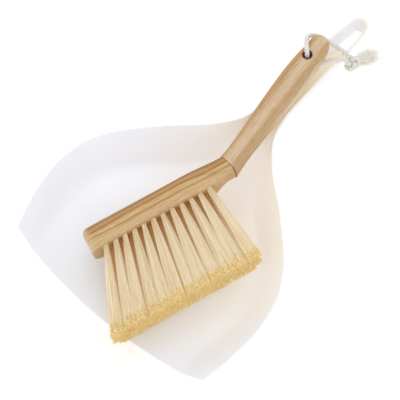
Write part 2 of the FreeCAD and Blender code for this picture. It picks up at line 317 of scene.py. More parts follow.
def bump(graph, shader, height, strength, distance):
    node = graph.add("ShaderNodeBump", {"Height": height, "Strength": strength, "Distance": distance})
    graph.tree.links.new(node.outputs[0], shader.inputs["Normal"])


# ================================================================ shared shader groups
def fine_mottling_group():
    """Slow and fine unevenness of a moulded or rubbed surface, between two values."""
    graph, given, out = new_group(
        "Fine mottling",
        [("Vector", "NodeSocketVector", None), ("Patch size", "NodeSocketFloat", 0.03),
         ("Low", "NodeSocketFloat", 0.3), ("High", "NodeSocketFloat", 0.5)],
        [("Value", "NodeSocketFloat"), ("Height", "NodeSocketFloat")])
    scale = graph.math("DIVIDE", 1.0, given["Patch size"])
    patches = graph.noise(given["Vector"], scale, 4.0, 0.6)
    grit = graph.noise(given["Vector"], graph.math("MULTIPLY", scale, 40.0), 2.0)
    mixed = graph.math("ADD", graph.math("MULTIPLY", patches, 0.75), graph.math("MULTIPLY", grit, 0.25))
    value = graph.add("ShaderNodeMapRange", {"Value": mixed, "From Min": 0.3, "From Max": 0.7,
                                             "To Min": given["Low"], "To Max": given["High"]})
    graph.feed(out["Value"], value.outputs[0])
    graph.feed(out["Height"], mixed)
    return graph.tree


def wood_grain_group():
    """Grain along x, in millimetres, over a given colour: growth lines, fibre streaks and pores."""
    graph, given, out = new_group(
        "Wood grain",
        [("Vector", "NodeSocketVector", None), ("Color", "NodeSocketColor", (0.6, 0.4, 0.2, 1)),
         ("Line spacing", "NodeSocketFloat", 3.0), ("Contrast", "NodeSocketFloat", 0.6)],
        [("Color", "NodeSocketColor"), ("Tone", "NodeSocketFloat"), ("Height", "NodeSocketFloat")])
    place = given["Vector"]
    parts = graph.add("ShaderNodeSeparateXYZ", {"Vector": place}).outputs
    waver = graph.noise(graph.stretched(place, 0.010, 0.06), 1.0, 3.0)
    across = graph.math("ADD", parts["Z"], graph.math("MULTIPLY", parts["Y"], 0.35))
    across = graph.math("ADD", across, graph.math("MULTIPLY", waver, 14.0))
    line = graph.math("FRACT", graph.math("DIVIDE", across, given["Line spacing"]))
    line = graph.math("POWER", line, 4.0)
    broad = graph.ranged(graph.noise(graph.stretched(place, 0.018, 0.55), 1.0, 4.0, 0.6), 0.36, 0.64)
    fine = graph.ranged(graph.noise(graph.stretched(place, 0.07, 2.4), 1.0, 4.0, 0.7), 0.34, 0.66)
    pore = graph.ranged(graph.noise(graph.stretched(place, 0.16, 3.2), 1.0, 2.0), 0.60, 0.70)
    tone = graph.math("ADD", graph.math("MULTIPLY", line, 0.22), graph.math("MULTIPLY", broad, 0.24))
    tone = graph.math("ADD", tone, graph.math("MULTIPLY", fine, 0.5))
    tone = graph.math("ADD", tone, graph.math("MULTIPLY", pore, 0.55))
    tone = graph.math("MULTIPLY", tone, given["Contrast"])
    deep = graph.vector("MULTIPLY", given["Color"], (0.52, 0.40, 0.27))
    graph.feed(out["Color"], graph.blend(tone, given["Color"], deep))
    graph.feed(out["Tone"], tone)
    graph.feed(out["Height"], graph.math("SUBTRACT", fine, pore))
    return graph.tree


def seam_and_hole_shade_group():
    """Darkens a colour where a distance is small: the dark glued seam, and painted shade over darker end
    grain in the drilled cord hole.
    """
    graph, given, out = new_group(
        "Dark seam and painted hole shade",
        [("Color", "NodeSocketColor", (0.6, 0.4, 0.2, 1)), ("Dark", "NodeSocketColor", (0.1, 0.05, 0.02, 1)),
         ("Distance", "NodeSocketFloat", 1.0), ("Inside", "NodeSocketFloat", 0.1),
         ("Outside", "NodeSocketFloat", 0.3)],
        [("Color", "NodeSocketColor")])
    mask = graph.add("ShaderNodeMapRange", {"Value": given["Distance"], "From Min": given["Inside"],
                                            "From Max": given["Outside"], "To Min": 1.0, "To Max": 0.0})
    graph.feed(out["Color"], graph.blend(mask.outputs[0], given["Color"], given["Dark"]))
    return graph.tree


def dust_group():
    """Pale dust that settles unevenly on faces that look up."""
    graph, given, out = new_group(
        "Settled dust",
        [("Color", "NodeSocketColor", (0.8, 0.8, 0.8, 1)), ("Dust", "NodeSocketColor", (0.6, 0.55, 0.5, 1)),
         ("Amount", "NodeSocketFloat", 0.1)],
        [("Color", "NodeSocketColor")])
    normal = graph.add("ShaderNodeNewGeometry").outputs["Normal"]
    upward = graph.ranged(graph.add("ShaderNodeSeparateXYZ", {"Vector": normal}).outputs["Z"], 0.3, 1.0)
    place = graph.add("ShaderNodeTexCoord").outputs["Object"]
    patches = graph.ranged(graph.noise(place, 70.0, 5.0, 0.6), 0.42, 0.75)
    specks = graph.ranged(graph.noise(place, 1800.0, 1.0), 0.70, 0.78)
    cover = graph.math("ADD", patches, graph.math("MULTIPLY", specks, 2.0))
    mask = graph.math("MULTIPLY", graph.math("MULTIPLY", cover, upward), given["Amount"])
    graph.feed(out["Color"], graph.blend(mask, given["Color"], given["Dust"]))
    return graph.tree


# ================================================================ materials
def brush_frame():
    """Matrix from the brush's own frame to the pan's frame."""
    turn = Euler((BRUSH_ROLL, BRUSH_PITCH, BRUSH_YAW), "XYZ").to_matrix().to_4x4()
    return Matrix.Translation(BRUSH_POINT) @ turn


def handle_frame():
    """Matrix from the handle's frame, x along the handle from the joint, to the pan's frame."""
    joint = Matrix.Translation((BLOCK_LENGTH, 0, JOINT_CENTRE_Z))
    return brush_frame() @ joint @ Matrix.Rotation(-HANDLE_BEND, 4, "Y")


def local_millimetres(graph, matrix):
    """Object coordinates turned into a piece's own frame, in millimetres."""
    place = graph.add("ShaderNodeTexCoord").outputs["Object"]
    node = graph.add("ShaderNodeMapping", {"Vector": place, "Location": matrix.to_translation(),
                                           "Rotation": matrix.to_euler(), "Scale": (MM, MM, MM)},
                     vector_type="TEXTURE")
    return node.outputs[0]


def plastic_material(mottling, dust):
    """White plastic, creamier under the brush (painted warm bounce light) and in the trough (painted warm
    shade), with a faint painted glow on its inner side.
    """
    material, graph, shader = new_material(
        "white moulded plastic", IOR=1.49, Emission_Strength=0.15, Subsurface_Weight=0.08,
        Subsurface_Scale=0.004, Subsurface_Radius=(1.0, 0.9, 0.75))
    place = graph.add("ShaderNodeTexCoord").outputs["Object"]
    rub = place_group(graph, mottling, Vector=place, Patch_size=0.04, Low=0.34, High=0.46)
    tint = graph.blend(graph.noise(place, 14.0, 2.0), srgb(242, 244, 251), srgb(245, 246, 251))
    # Painted warm bounce light: a cream tint round a spot under the brush.
    warm = graph.add("ShaderNodeVectorMath", operation="DISTANCE")
    graph.feed(warm.inputs[0], graph.vector("MULTIPLY", place, (1.0, 0.62, 1.0)))
    warm.inputs[1].default_value = PAINTED_BOUNCE_CENTRE
    tint = graph.blend(graph.ranged(warm.outputs["Value"], *PAINTED_BOUNCE_REACH, 0.9, 0.0), tint,
                       srgb(250, 246, 238))
    parts = graph.add("ShaderNodeSeparateXYZ", {"Vector": place}).outputs
    depth = parts["Y"]
    aside = graph.math("ABSOLUTE", parts["X"])
    normal = graph.add("ShaderNodeNewGeometry").outputs["Normal"]
    upward = graph.add("ShaderNodeSeparateXYZ", {"Vector": normal}).outputs["Z"]
    # Painted warm shade: a cream tint on the upward faces of the trough under the handle.
    trough = graph.math("MULTIPLY", graph.ranged(depth, *TROUGH_START), graph.ranged(upward, 0.35, 0.8))
    trough = graph.math("MULTIPLY", trough, graph.ranged(aside, *TROUGH_HALF_WIDTH, 1.0, 0.0))
    tint = graph.blend(trough, tint, srgb(252, 241, 220))
    # Painted glow of bounce light on the upward inner faces, fading towards the lip and weaker on the end
    # loop.
    lit = graph.math("MINIMUM", graph.ranged(depth, 0.0, LIP_END, 0.15, 1.0),
                     graph.ranged(depth, *LOOP_START, 1.0, 0.3))
    lit = graph.math("MULTIPLY", lit, graph.ranged(upward, -0.1, 0.25))
    glow = graph.blend(lit, (0.0, 0.0, 0.0, 1.0), tint)
    graph.feed(shader.inputs["Emission Color"], glow)
    dusted = place_group(graph, dust, Color=tint, Dust=srgb(224, 220, 212), Amount=0.05)
    graph.feed(shader.inputs["Base Color"], dusted["Color"])
    graph.feed(shader.inputs["Roughness"], rub["Value"])
    bump(graph, shader, rub["Height"], 0.06, 0.0004)
    return material


def joint_distance(graph, parts, joint_x, joint_z, tilt):
    """Distance in millimetres from the plane of the glued mitre joint."""
    along = graph.math("MULTIPLY", graph.math("SUBTRACT", parts["X"], joint_x), math.cos(tilt))
    rise = graph.math("MULTIPLY", graph.math("SUBTRACT", parts["Z"], joint_z), math.sin(tilt))
    return graph.math("ABSOLUTE", graph.math("ADD", along, rise))


def wood_material(name, matrix, groups, strip_and_shade_bands, joint, contrast, nose_light=0.0):
    """Laminated wood: bands of colour across z (laminate strips on the block, painted shade and highlights
    on the handle), grain along x and a thin dark line at the joint.
    """
    material, graph, shader = new_material(name, IOR=1.45, Specular_IOR_Level=0.3)
    local = local_millimetres(graph, matrix)
    parts = graph.add("ShaderNodeSeparateXYZ", {"Vector": local}).outputs
    waver = graph.ranged(graph.noise(graph.stretched(local, 0.015, 0.1), 1.0, 2.0), 0.3, 0.7, -1.0, 1.0)
    low, high = strip_and_shade_bands[0][0], strip_and_shade_bands[-1][0]
    across = graph.ranged(graph.math("ADD", parts["Z"], waver), low, high)
    colour = graph.ramp(across, [((z - low) / (high - low), colour) for z, colour in strip_and_shade_bands])
    end_face = graph.ranged(parts["X"], 2.0, 7.0, nose_light, 0.0)
    colour = graph.blend(end_face, colour, srgb(242, 219, 186))
    wood = place_group(graph, groups["grain"], Vector=local, Color=colour, Line_spacing=3.1,
                       Contrast=contrast)
    seam = place_group(graph, groups["recess"], Color=wood["Color"], Dark=srgb(116, 84, 56),
                       Distance=joint_distance(graph, parts, *joint), Inside=0.08, Outside=0.34)
    graph.feed(shader.inputs["Base Color"], seam["Color"])
    graph.feed(shader.inputs["Roughness"], graph.ranged(wood["Tone"], 0.0, 1.0, 0.45, 0.65))
    bump(graph, shader, wood["Height"], 0.15, 0.0003)
    return material, graph, shader, seam["Color"], parts


def block_wood_material(groups):
    strip_and_shade_bands = ((0.0, srgb(232, 201, 154)), (6.5, srgb(235, 205, 158)), (8.6, srgb(222, 188, 136)),
              (9.8, srgb(196, 152, 98)), (10.8, srgb(236, 203, 150)), (13.4, srgb(232, 197, 142)),
              (14.6, srgb(176, 126, 70)), (15.8, srgb(213, 172, 115)), (17.8, srgb(211, 169, 111)),
              (20.0, srgb(175, 130, 78)), (22.5, srgb(203, 162, 109)), (25.0, srgb(162, 116, 67)))
    joint = (BLOCK_LENGTH / MM, JOINT_CENTRE_Z / MM, HANDLE_BEND / 2)
    return wood_material("block wood", brush_frame(), groups, strip_and_shade_bands, joint, 0.95, 0.7)[0]


def handle_wood_material(groups):
    # The handle's bands are painted light: painted shade on its flanks and painted highlights along its
    # middle and its two outer edges.
    strip_and_shade_bands = ((-13.0, srgb(234, 214, 184)), (-10.0, srgb(212, 180, 137)), (-6.5, srgb(213, 179, 134)),
              (-3.5, srgb(236, 209, 176)), (2.0, srgb(237, 211, 180)), (5.0, srgb(224, 191, 149)),
              (8.5, srgb(206, 166, 115)), (12.0, srgb(226, 192, 148)))
    joint = (0.0, 0.0, -HANDLE_BEND / 2)
    material, graph, shader, colour, parts = wood_material("handle wood", handle_frame(), groups, strip_and_shade_bands,
                                                           joint, 0.8)
    # Painted shade over darker end grain inside the cord hole.
    aside = graph.math("SUBTRACT", parts["X"], CORD_HOLE_DISTANCE / MM)
    lift = graph.math("SUBTRACT", parts["Z"], CORD_HOLE_OFFSET / MM)
    radius = graph.math("SQRT", graph.math("ADD", graph.math("MULTIPLY", aside, aside),
                                           graph.math("MULTIPLY", lift, lift)))
    hole = place_group(graph, groups["recess"], Color=colour, Dark=srgb(112, 70, 46),
                       Distance=radius, Inside=4.3, Outside=4.8)
    graph.feed(shader.inputs["Base Color"], hole["Color"])
    return material


def bristle_material(name, root_shade, root_shade_reach, root_glow):
    """Natural fibre: each bristle has its own tone, with painted golden shade towards the root, yellower at
    the cut tip and a faint painted glow.
    """
    material, graph, shader = new_material(
        name, Roughness=0.5, IOR=1.5, Specular_IOR_Level=0.25, Emission_Strength=0.16)
    tone = graph.add("ShaderNodeAttribute", attribute_name="fibre_tone").outputs["Fac"]
    along = graph.add("ShaderNodeAttribute", attribute_name="fibre_along").outputs["Fac"]
    body = graph.blend(tone, srgb(254, 247, 224), srgb(232, 208, 163))
    # Painted shade: the colour turns a darker gold towards the root of each bristle.
    root = graph.blend(graph.ranged(along, 0.0, root_shade_reach, root_shade, 0.0), body, srgb(206, 148, 72))
    place = graph.add("ShaderNodeTexCoord").outputs["Object"]
    cut_end = graph.blend(graph.ranged(graph.noise(place, 620.0, 1.0), 0.42, 0.58), srgb(228, 195, 122),
                          srgb(251, 236, 182))
    ragged = graph.math("ADD", along, graph.ranged(graph.noise(place, 260.0, 1.0), 0.3, 0.7, -0.04, 0.04))
    tip = graph.blend(graph.ranged(ragged, 0.87, 0.92, 0.0, 0.85), root, cut_end)
    # Painted glow: each bristle glows faintly in its own colour, less near the root.
    glow = graph.blend(graph.ranged(along, 0.0, 0.5, root_glow, 1.0), (0.0, 0.0, 0.0, 1.0), tip)
    graph.feed(shader.inputs["Base Color"], tip)
    graph.feed(shader.inputs["Emission Color"], glow)
    return material


def cotton_material():
    """Twisted cotton yarn: fine yarns run round each strand, from the strand's own UV map."""
    material, graph, shader = new_material(
        "twisted cotton", Roughness=0.9, IOR=1.45, Specular_IOR_Level=0.15, Sheen_Weight=0.3)
    uv = graph.add("ShaderNodeSeparateXYZ",
                   {"Vector": graph.add("ShaderNodeUVMap", uv_map="strand").outputs[0]}).outputs
    turns = graph.math("ADD", graph.math("MULTIPLY", uv["X"], 700.0), graph.math("MULTIPLY", uv["Y"], 3.0))
    yarn = graph.math("ABSOLUTE", graph.math("SINE", graph.math("MULTIPLY", turns, math.pi)))
    place = graph.add("ShaderNodeTexCoord").outputs["Object"]
    fluff = graph.noise(place, 2500.0, 3.0, 0.7)
    # Painted shade: darker in the grooves between the yarns, mixed with a random fluff tone.
    shade = graph.math("MULTIPLY", graph.math("ADD", yarn, fluff), 0.5)
    graph.feed(shader.inputs["Base Color"], graph.blend(shade, srgb(226, 219, 208), srgb(252, 249, 244)))
    bump(graph, shader, shade, 0.5, 0.0004)
    return material


def frayed_cotton_material():
    # Painted glow: the frayed tassel fibres glow faintly in their own colour.
    material, graph, shader = new_material(
        "frayed cotton", Roughness=0.9, IOR=1.45, Specular_IOR_Level=0.1, Emission_Strength=0.12)
    tone = graph.add("ShaderNodeAttribute", attribute_name="fibre_tone").outputs["Fac"]
    colour = graph.blend(tone, srgb(252, 249, 243), srgb(236, 229, 216))
    graph.feed(shader.inputs["Base Color"], colour)
    graph.feed(shader.inputs["Emission Color"], colour)
    return material


def steel_material(mottling):
    material, graph, shader = new_material("anchor steel", Metallic=1.0)
    place = graph.add("ShaderNodeTexCoord").outputs["Object"]
    rub = place_group(graph, mottling, Vector=place, Patch_size=0.002, Low=0.3, High=0.5)
    colour = graph.blend(rub["Height"], srgb(150, 150, 152), srgb(186, 186, 188))
    graph.feed(shader.inputs["Base Color"], colour)
    graph.feed(shader.inputs["Roughness"], rub["Value"])
    return material


# ================================================================ dust pan
def smooth_value(curve, at):
    """Value of a monotone cubic curve through (position, value) points."""
    xs = [float(point[0]) for point in curve]
    ys = [float(point[1]) for point in curve]
    slopes = [(ys[i + 1] - ys[i]) / (xs[i + 1] - xs[i]) for i in range(len(xs) - 1)]
    tangents = [slopes[0]]
    for before, after in zip(slopes, slopes[1:]):
        tangents.append(0.0 if before * after <= 0 else 2 * before * after / (before + after))
    tangents.append(slopes[-1])
    i = 0
    while i < len(slopes) - 1 and at > xs[i + 1]:
        i += 1
    width = xs[i + 1] - xs[i]
    t = (at - xs[i]) / width
    return ((2 * t**3 - 3 * t**2 + 1) * ys[i] + (t**3 - 2 * t**2 + t) * width * tangents[i]
            + (3 * t**2 - 2 * t**3) * ys[i + 1] + (t**3 - t**2) * width * tangents[i + 1])


def pan_profile(y, inner_x, count):
    """Points (x, z) of the pan's outer surface at y, evenly spaced from inner_x out to the rim."""
    width = smooth_value(RIM_HALF_WIDTH, y)
    height = smooth_value(RIM_HEIGHT, y)
    floor = smooth_value(FLOOR_HEIGHT, y)
    lean = math.radians(smooth_value(WALL_LEAN, y))
    radius = smooth_value(FOOT_RADIUS, y)
    rise = math.pi / 2 - lean
    foot_x = width - (height - floor) * math.tan(lean) - radius * math.tan(rise / 2)
    points = [(inner_x, floor)] if inner_x < foot_x else []
    for step in range(BEND_STEPS + 1):
        angle = rise * step / BEND_STEPS
        x = foot_x + radius * math.sin(angle)
        if x > inner_x:
            points.append((x, floor + radius * (1 - math.cos(angle))))
    points.append((width, height))
    lengths = [0.0]
    for (x0, z0), (x1, z1) in zip(points, points[1:]):
        lengths.append(lengths[-1] + math.hypot(x1 - x0, z1 - z0))
    result = []
    i = 0
    for step in range(count + 1):
        at = lengths[-1] * step / count
        while i < len(lengths) - 2 and at > lengths[i + 1]:
            i += 1
        t = (at - lengths[i]) / (lengths[i + 1] - lengths[i])
        result.append((points[i][0] + (points[i + 1][0] - points[i][0]) * t,
                       points[i][1] + (points[i + 1][1] - points[i][1]) * t))
    return result


def pan_lip_y(x):
    radius = (LIP_HALF_WIDTH**2 + LIP_BULGE**2) / (2 * LIP_BULGE)
    return radius - LIP_BULGE - math.sqrt(radius**2 - x**2)


def pan_side_rows(count):
    """Rows of points (x, y, z) of the pan's right half, from the lip to the middle of the end loop."""
    rows = []
    for step in range(LIP_STEPS):
        share = step / LIP_STEPS
        row = []
        for i in range(count + 1):
            y = 0.0
            for _ in range(6):
                x, z = pan_profile(y, 0.0, count)[i]
                y = pan_lip_y(x) * (1 - share) + FIRST_STRAIGHT_Y * share
            row.append((x, y, z))
        rows.append(row)
    y = FIRST_STRAIGHT_Y
    stations = []
    while y < HANG_HOLE_START_Y - STATION_SPACING:
        stations.append((y, 0.0))
        y += STATION_SPACING
    for step in range(HOLE_START_STEPS + 1):
        angle = math.pi / 2 * step / HOLE_START_STEPS
        stations.append((HANG_HOLE_START_Y + HANG_HOLE_HALF_WIDTH * (1 - math.cos(angle)),
                         HANG_HOLE_HALF_WIDTH * math.sin(angle)))
    start_y = HANG_HOLE_START_Y + HANG_HOLE_HALF_WIDTH
    for step in range(1, LOOP_STEPS + 1):
        share = step / LOOP_STEPS
        stations.append((start_y + (LOOP_CENTRE_Y - start_y) * share,
                         HANG_HOLE_HALF_WIDTH + (HANG_HOLE_END_RADIUS - HANG_HOLE_HALF_WIDTH) * share))
    for y, inner_x in stations:
        rows.append([(x, y, z) for x, z in pan_profile(y, inner_x, count)])
    return rows


def dust_pan(material):
    """One-piece shell: a half profile swept up one side, round the end loop and down the other."""
    right = pan_side_rows(PROFILE_STEPS)
    rows = list(right)
    for step in range(1, LOOP_TURN_STEPS):
        angle = math.pi * step / LOOP_TURN_STEPS
        rows.append([(x * math.cos(angle), LOOP_CENTRE_Y + x * math.sin(angle), z)
                     for x, _, z in right[-1]])
    rows += [[(-x, y, z) for x, y, z in row] for row in reversed(right)]
    points = [Vector(point) * MM for row in rows for point in row]
    faces = []
    width = PROFILE_STEPS + 1
    for i in range(len(rows) - 1):
        for j in range(PROFILE_STEPS):
            corner = i * width + j
            faces.append((corner, corner + 1, corner + width + 1, corner + width))
    mesh = mesh_from("pan_shell", points, faces)
    work = bmesh.new()
    work.from_mesh(mesh)
    bmesh.ops.remove_doubles(work, verts=work.verts, dist=0.02 * MM)
    bmesh.ops.recalc_face_normals(work, faces=work.faces)
    lowest = min(work.faces, key=lambda face: face.calc_center_median().z)
    if lowest.normal.z > 0:
        bmesh.ops.reverse_faces(work, faces=work.faces)
    work.to_mesh(mesh)
    work.free()
    piece = new_object("pan_shell", mesh)
    wall = piece.modifiers.new("wall", "SOLIDIFY")
    wall.thickness = PAN_WALL * MM
    wall.offset = -1.0
    wall.use_even_offset = True
    rim = piece.modifiers.new("rim", "BEVEL")
    rim.limit_method = "ANGLE"
    rim.angle_limit = math.radians(60)
    rim.width = PAN_RIM_ROUNDING * MM
    rim.segments = 3
    applied(piece)
    smooth_shaded(piece.data)
    piece.data.materials.append(material)
    return finish_piece(piece, "pan", "white_plastic", "dust_pan")


# ================================================================ wooden pieces
def wooden_piece(name, node, material):
    """Merged, smooth-shaded copy of a turned wooden piece."""
    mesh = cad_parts[node].data.copy()
    mesh.name = name
    work = bmesh.new()
    work.from_mesh(mesh)
    bmesh.ops.remove_doubles(work, verts=work.verts, dist=0.002 * MM)
    work.to_mesh(mesh)
    work.free()
    if "custom_normal" in mesh.attributes:
        mesh.attributes.remove(mesh.attributes["custom_normal"])
    smooth_shaded(mesh)
    mesh.materials.clear()
    mesh.materials.append(material)
    return finish_piece(new_object(name, mesh), "brush", "bamboo", node)


# ================================================================ fibres
def fibre_tree():
    """Geometry nodes: bundles of thin fibres that open out from a round root to an oval end."""
    tree = bpy.data.node_groups.new("Fibre bundles", "GeometryNodeTree")
    labels = (("Bundles", "NodeSocketGeometry", None), ("Fibres per bundle", "NodeSocketInt", 100),
              ("Fibre radius", "NodeSocketFloat", 0.0002), ("Root radius", "NodeSocketFloat", 0.002),
              ("End half length", "NodeSocketFloat", 0.005), ("End half width", "NodeSocketFloat", 0.004),
              ("Length axis", "NodeSocketVector", (1, 0, 0)), ("Width axis", "NodeSocketVector", (0, 1, 0)),
              ("Sway", "NodeSocketFloat", 0.001), ("Pinch", "NodeSocketFloat", 0.0),
              ("Uneven ends", "NodeSocketFloat", 0.01),
              ("Segments", "NodeSocketInt", 5), ("Seed", "NodeSocketInt", 1),
              ("Material", "NodeSocketMaterial", None))
    for label, kind, default in labels:
        socket = tree.interface.new_socket(label, in_out="INPUT", socket_type=kind)
        if default is not None:
            socket.default_value = default
    tree.interface.new_socket("Fibres", in_out="OUTPUT", socket_type="NodeSocketGeometry")
    graph = Graph(tree)
    given = graph.add("NodeGroupInput").outputs

    def chance(low, high, offset, kind="FLOAT"):
        node = graph.add("FunctionNodeRandomValue", data_type=kind)
        sockets = [socket for socket in node.inputs if socket.enabled]
        sockets[0].default_value = low
        sockets[1].default_value = high
        graph.feed(node.inputs["Seed"], graph.math("ADD", given["Seed"], offset))
        return [socket for socket in node.outputs if socket.enabled][0]

    copies = graph.add("GeometryNodeDuplicateElements",
                       {"Geometry": given["Bundles"], "Amount": given["Fibres per bundle"]},
                       domain="POINT").outputs["Geometry"]
    radius = graph.math("SQRT", chance(0.0, 1.0, 0.0))
    angle = chance(0.0, 2 * math.pi, 1.0)
    disk_x = graph.math("MULTIPLY", radius, graph.math("COSINE", angle))
    disk_y = graph.math("MULTIPLY", radius, graph.math("SINE", angle))
    root = graph.add("GeometryNodeInputPosition").outputs[0]
    end = graph.add("GeometryNodeInputNamedAttribute", {"Name": "bundle_end"},
                    data_type="FLOAT_VECTOR").outputs["Attribute"]

    def spread(centre, half_length, half_width):
        along = graph.scaled(given["Length axis"], graph.math("MULTIPLY", disk_x, half_length))
        across = graph.scaled(given["Width axis"], graph.math("MULTIPLY", disk_y, half_width))
        return graph.vector("ADD", centre, graph.vector("ADD", along, across))

    start = spread(root, given["Root radius"], given["Root radius"])
    finish = spread(end, given["End half length"], given["End half width"])
    splay = graph.vector("SUBTRACT", finish, end)
    uneven = graph.math("MULTIPLY", chance(-1.0, 0.0, 2.0), given["Uneven ends"])
    finish = graph.vector("ADD", finish, graph.scaled(graph.vector("SUBTRACT", end, root), uneven))
    sway = graph.scaled(chance((-1, -1, -1), (1, 1, 1), 3.0, "FLOAT_VECTOR"), given["Sway"])
    sway = graph.vector("ADD", sway, graph.scaled(splay, given["Pinch"]))
    stored = copies
    tone = chance(0.0, 1.0, 4.0)
    kept_values = (("fibre_start", "FLOAT_VECTOR", start), ("fibre_finish", "FLOAT_VECTOR", finish),
                   ("fibre_sway", "FLOAT_VECTOR", sway), ("fibre_tone", "FLOAT", tone))
    for name, kind, value in kept_values:
        node = graph.add("GeometryNodeStoreNamedAttribute", {"Geometry": stored, "Name": name},
                         data_type=kind, domain="POINT")
        graph.feed(node.inputs["Value"], value)
        stored = node.outputs["Geometry"]
    unit = graph.add("GeometryNodeCurvePrimitiveLine", {"End": (0, 0, 1)}).outputs["Curve"]
    unit = graph.add("GeometryNodeResampleCurve",
                     {"Curve": unit, "Count": graph.math("ADD", given["Segments"], 1.0)}).outputs["Curve"]
    curves = graph.add("GeometryNodeInstanceOnPoints", {"Points": stored, "Instance": unit}).outputs[0]
    curves = graph.add("GeometryNodeRealizeInstances", {"Geometry": curves}).outputs[0]

    def read(name):
        return graph.add("GeometryNodeInputNamedAttribute", {"Name": name},
                         data_type="FLOAT_VECTOR").outputs["Attribute"]

    along = graph.add("GeometryNodeSplineParameter").outputs["Factor"]
    kept = graph.add("GeometryNodeStoreNamedAttribute", {"Geometry": curves, "Name": "fibre_along"},
                     data_type="FLOAT", domain="POINT")
    graph.feed(kept.inputs["Value"], along)
    reach = graph.scaled(graph.vector("SUBTRACT", read("fibre_finish"), read("fibre_start")), along)
    bow = graph.scaled(read("fibre_sway"), graph.math("SINE", graph.math("MULTIPLY", along, math.pi)))
    place = graph.vector("ADD", graph.vector("ADD", read("fibre_start"), reach), bow)
    shaped = graph.add("GeometryNodeSetPosition", {"Geometry": kept.outputs["Geometry"], "Position": place})
    ring = graph.add("GeometryNodeCurvePrimitiveCircle", {"Resolution": 3, "Radius": given["Fibre radius"]})
    tubes = graph.add("GeometryNodeCurveToMesh",
                      {"Curve": shaped.outputs[0], "Profile Curve": ring.outputs[0],
                       "Fill Caps": True}).outputs[0]
    real = graph.add("GeometryNodeRealizeInstances", {"Geometry": tubes}).outputs[0]
    coloured = graph.add("GeometryNodeSetMaterial",
                         {"Geometry": real, "Material": given["Material"]}).outputs[0]
    graph.add("NodeGroupOutput", {"Fibres": coloured})
    return tree


def grow_fibres(name, tree, bundles, **sizes):
    """Mesh of fibre bundles; each bundle is given as (root, end)."""
    mesh = mesh_from(name, [root for root, _ in bundles], [])
    ends = mesh.attributes.new("bundle_end", "FLOAT_VECTOR", "POINT")
    for item, (_, end) in zip(ends.data, bundles):
        item.vector = end
    piece = new_object(name, mesh)
    modifier = piece.modifiers.new("fibres", "NODES")
    modifier.node_group = tree
    for item in tree.interface.items_tree:
        label = item.name.replace(" ", "_")
        if item.item_type == "SOCKET" and item.in_out == "INPUT" and label in sizes:
            modifier[item.identifier] = sizes[label]
    applied(piece)
    for spare in ("fibre_start", "fibre_finish", "fibre_sway", "bundle_end"):
        if spare in piece.data.attributes:
            piece.data.attributes.remove(piece.data.attributes[spare])
    return piece


def bristle_rows(tree, upper, inner):
    """One piece for each row of tufts; the first row lies on top and the others are in its shade."""
    to_pan = brush_frame()
    turn = to_pan.to_3x3()
    for row in range(TUFT_ROWS):
        middle = row - (TUFT_ROWS - 1) / 2
        bundles = []
        nodes = []
        for column in range(TUFTS_PER_LONG_ROW - row % 2):
            step = column + 0.5 * (row % 2)
            root = Vector((TUFT_FIRST_X + TUFT_PITCH * step, TUFT_ROW_SPACING * middle, 0))
            lean = TUFT_LEAN * math.sin(LEAN_STEP * (column + LEAN_ROW_SHIFT * row))
            end = Vector((TIP_FIRST_X + TIP_PITCH * step + lean, TIP_ROW_SPACING * middle, -BRISTLE_LENGTH))
            hidden = (root - end).normalized() * TUFT_HIDDEN_DEPTH
            bundles.append((to_pan @ (root + hidden), to_pan @ end))
            nodes.append("tuft_%d_%02d" % (row + 1, column + 1))
        piece = grow_fibres("bristles_row_%d" % (row + 1), tree, bundles,
                            Material=inner if row else upper, Fibres_per_bundle=BRISTLES_PER_TUFT,
                            Fibre_radius=BRISTLE_RADIUS, Root_radius=TUFT_RADIUS - BRISTLE_RADIUS,
                            End_half_length=TIP_PITCH * TUFT_END_LENGTH_SHARE,
                            End_half_width=TIP_ROW_SPACING * TUFT_END_WIDTH_SHARE,
                            Length_axis=turn @ Vector((1, 0, 0)), Width_axis=turn @ Vector((0, 1, 0)),
                            Sway=BRISTLE_SWAY, Pinch=BRISTLE_PINCH, Uneven_ends=BRISTLE_UNEVENNESS,
                            Segments=BRISTLE_SEGMENTS, Seed=FIRST_BRISTLE_SEED + row)
        finish_piece(piece, "brush", "bristle", *nodes)


# ================================================================ hanging cord
def spline_points(route):
    """Points along the smooth spline that has the route as its control points."""
    curve = bpy.data.curves.new("cord_route", "CURVE")
    curve.dimensions = "3D"
    curve.resolution_u = 24
    spline = curve.splines.new("NURBS")
    spline.points.add(len(route) - 1)
    for point, place in zip(spline.points, route):
        point.co = (*place, 1.0)
    spline.order_u = 3
    spline.use_endpoint_u = True
    guide = bpy.data.objects.new("cord_route", curve)
    bpy.context.scene.collection.objects.link(guide)
    depsgraph = bpy.context.evaluated_depsgraph_get()
    mesh = bpy.data.meshes.new_from_object(guide.evaluated_get(depsgraph))
    points = [vertex.co.copy() for vertex in mesh.vertices]
    bpy.data.objects.remove(guide)
    bpy.data.meshes.remove(mesh)
    return points


def even_points(points, spacing):
    """Points the same distance apart along a line of points."""
    lengths = [0.0]
    for before, after in zip(points, points[1:]):
        lengths.append(lengths[-1] + (after - before).length)
    count = max(2, round(lengths[-1] / spacing))
    result = []
    i = 0
    for step in range(count + 1):
        at = lengths[-1] * step / count
        while i < len(lengths) - 2 and at > lengths[i + 1]:
            i += 1
        t = (at - lengths[i]) / max(lengths[i + 1] - lengths[i], 1e-9)
        result.append(points[i].lerp(points[i + 1], t))
    return result


def carried_frames(points):
    """A side direction at each point, carried along the line without twisting."""
    tangents = []
    for i in range(len(points)):
        tangents.append((points[min(i + 1, len(points) - 1)] - points[max(i - 1, 0)]).normalized())
    side = tangents[0].orthogonal().normalized()
    frames = []
    for tangent in tangents:
        side = (side - tangent * side.dot(tangent)).normalized()
        frames.append((side, tangent.cross(side)))
    return frames


